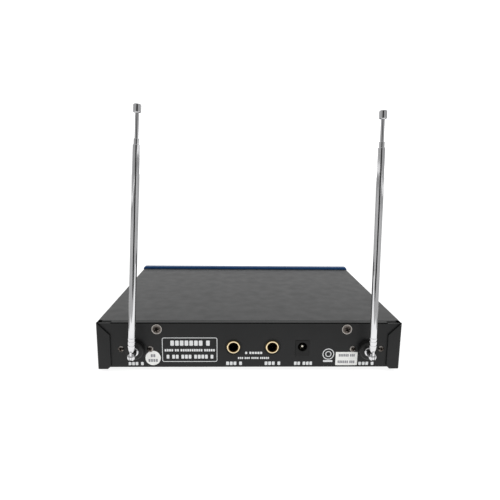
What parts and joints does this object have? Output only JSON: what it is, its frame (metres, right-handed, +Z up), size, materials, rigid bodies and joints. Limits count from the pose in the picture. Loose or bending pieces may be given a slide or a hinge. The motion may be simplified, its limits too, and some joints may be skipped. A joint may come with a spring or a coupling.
{
  "type": "wireless microphone receiver",
  "caption": "Flat steel-cased wireless receiver with a moulded front bezel, rear audio and power sockets, and folding telescopic antennas.",
  "frame": {"origin": "bottom centre of the bounding box at rest, on the plane the rubber feet stand on", "axes": "+X to the right when facing the front, front panel faces -Y, rear panel and sockets face +Y, +Z up"},
  "size_m": [0.2088, 0.1884, 0.1734],
  "materials": {
    "black_steel": "satin black powder coat",
    "blue_gloss": "glossy blue moulding",
    "smoke_window": "dark glossy insert",
    "foot_rubber": "matt rubber",
    "nickel_screw": "nickel plate",
    "black_screw": "black oxide",
    "boss_plastic": "satin moulding",
    "chrome_plate": "bright chrome plate",
    "contact_metal": "tinned spring metal",
    "lead_sheath": "soft cable sheath",
    "socket_plastic": "glass-filled moulding",
    "gold_bush": "gold plate",
    "board_green": "solder mask",
    "brass_standoff": "turned brass",
    "tin_shield": "tin plate",
    "capacitor_sleeve": "shrink sleeve",
    "chip_resin": "moulded resin",
    "sink_aluminium": "extruded aluminium",
    "header_nylon": "nylon",
    "ribbon_grey": "flat cable",
    "shaft_steel": "turned steel",
    "knob_plastic": "satin moulding",
    "button_plastic": "light grey moulding",
    "lamp_lens": "diffused red lens",
    "label_paper": "matt paper"
  },
  "bodies": {
    "case": {"top_cover": "black_steel", "chassis_base": "black_steel", "front_bezel": "blue_gloss", "display_window": "smoke_window", "rubber_feet": "foot_rubber", "cover_screws": "nickel_screw", "side_screws": "black_screw", "bezel_screws": "nickel_screw", "antenna_screws": "nickel_screw", "antenna_boss_a": "boss_plastic", "antenna_boss_b": "boss_plastic", "antenna_lug_a": "contact_metal", "antenna_lug_b": "contact_metal", "antenna_lead_a": "lead_sheath", "antenna_lead_b": "lead_sheath", "jack_body_a": "socket_plastic", "jack_body_b": "socket_plastic", "jack_bush_a": "gold_bush", "jack_bush_b": "gold_bush", "jack_contacts_a": "contact_metal", "jack_contacts_b": "contact_metal", "dc_jack_body": "socket_plastic", "dc_jack_pin": "contact_metal", "dc_jack_spring": "contact_metal", "main_board": "board_green", "board_standoffs": "brass_standoff", "board_screws": "nickel_screw", "rf_shield_a": "tin_shield", "rf_shield_b": "tin_shield", "capacitors": "capacitor_sleeve", "integrated_circuits": "chip_resin", "voltage_regulator": "chip_resin", "heat_sink": "sink_aluminium", "tuned_coils": "tin_shield", "crystals": "tin_shield", "board_headers": "header_nylon", "ribbon_cable": "ribbon_grey", "front_board_panel": "board_green", "pot_bodies": "tin_shield", "power_switch": "chip_resin", "status_lamps": "lamp_lens", "spec_label": "label_paper", "round_sticker": "label_paper"},
    "swivel_a": {"swivel_fork_a": "chrome_plate", "elbow_pin_a": "chrome_plate"},
    "lower_a": {"lower_tube_a": "chrome_plate"},
    "middle_a": {"middle_tube_a": "chrome_plate"},
    "tip_a": {"tip_rod_a": "chrome_plate", "tip_cap_a": "chrome_plate"},
    "volume_a": {"volume_knob_a": "knob_plastic", "pot_shaft_a": "shaft_steel"},
    "swivel_b": {"swivel_fork_b": "chrome_plate", "elbow_pin_b": "chrome_plate"},
    "lower_b": {"lower_tube_b": "chrome_plate"},
    "middle_b": {"middle_tube_b": "chrome_plate"},
    "tip_b": {"tip_rod_b": "chrome_plate", "tip_cap_b": "chrome_plate"},
    "volume_b": {"volume_knob_b": "knob_plastic", "pot_shaft_b": "shaft_steel"},
    "power_button_cap": {"power_button": "button_plastic"}
  },
  "joints": [
    {"name": "antenna_a_swivel", "type": "hinge", "parent": "case", "child": "swivel_a", "pos_m": [-0.08, 0.07915, 0.0165], "axis": [0, 1, 0], "range_deg": [-90, 50]},
    {"name": "antenna_a_elbow", "type": "hinge", "parent": "swivel_a", "child": "lower_a", "pos_m": [-0.08, 0.09165, 0.0165], "axis": [-0.9997, 0, 0.0244], "range_deg": [0, 90]},
    {"name": "antenna_a_middle_slide", "type": "slide", "parent": "lower_a", "child": "middle_a", "axis": [0.0244, 0, 0.9997], "range_m": [0, 0.112]},
    {"name": "antenna_a_tip_slide", "type": "slide", "parent": "middle_a", "child": "tip_a", "axis": [0.0244, 0, 0.9997], "range_m": [0, 0.115]},
    {"name": "antenna_b_swivel", "type": "hinge", "parent": "case", "child": "swivel_b", "pos_m": [0.0773, 0.07915, 0.0165], "axis": [0, 1, 0], "range_deg": [-50, 90]},
    {"name": "antenna_b_elbow", "type": "hinge", "parent": "swivel_b", "child": "lower_b", "pos_m": [0.0773, 0.09165, 0.0165], "axis": [-0.9981, 0, -0.061], "range_deg": [0, 90]},
    {"name": "antenna_b_middle_slide", "type": "slide", "parent": "lower_b", "child": "middle_b", "axis": [-0.061, 0, 0.9981], "range_m": [0, 0.112]},
    {"name": "antenna_b_tip_slide", "type": "slide", "parent": "middle_b", "child": "tip_b", "axis": [-0.061, 0, 0.9981], "range_m": [0, 0.115]},
    {"name": "volume_a_turn", "type": "hinge", "parent": "case", "child": "volume_a", "pos_m": [0.038, -0.0813, 0.01925], "axis": [0, -1, 0], "range_deg": [-150, 150]},
    {"name": "volume_b_turn", "type": "hinge", "parent": "case", "child": "volume_b", "pos_m": [0.072, -0.0813, 0.01925], "axis": [0, -1, 0], "range_deg": [-150, 150]},
    {"name": "power_press", "type": "slide", "parent": "case", "child": "power_button_cap", "axis": [0, 1, 0], "range_m": [0, 0.002], "stiffness_N_per_m": 800, "springref_m": -0.001}
  ]
}
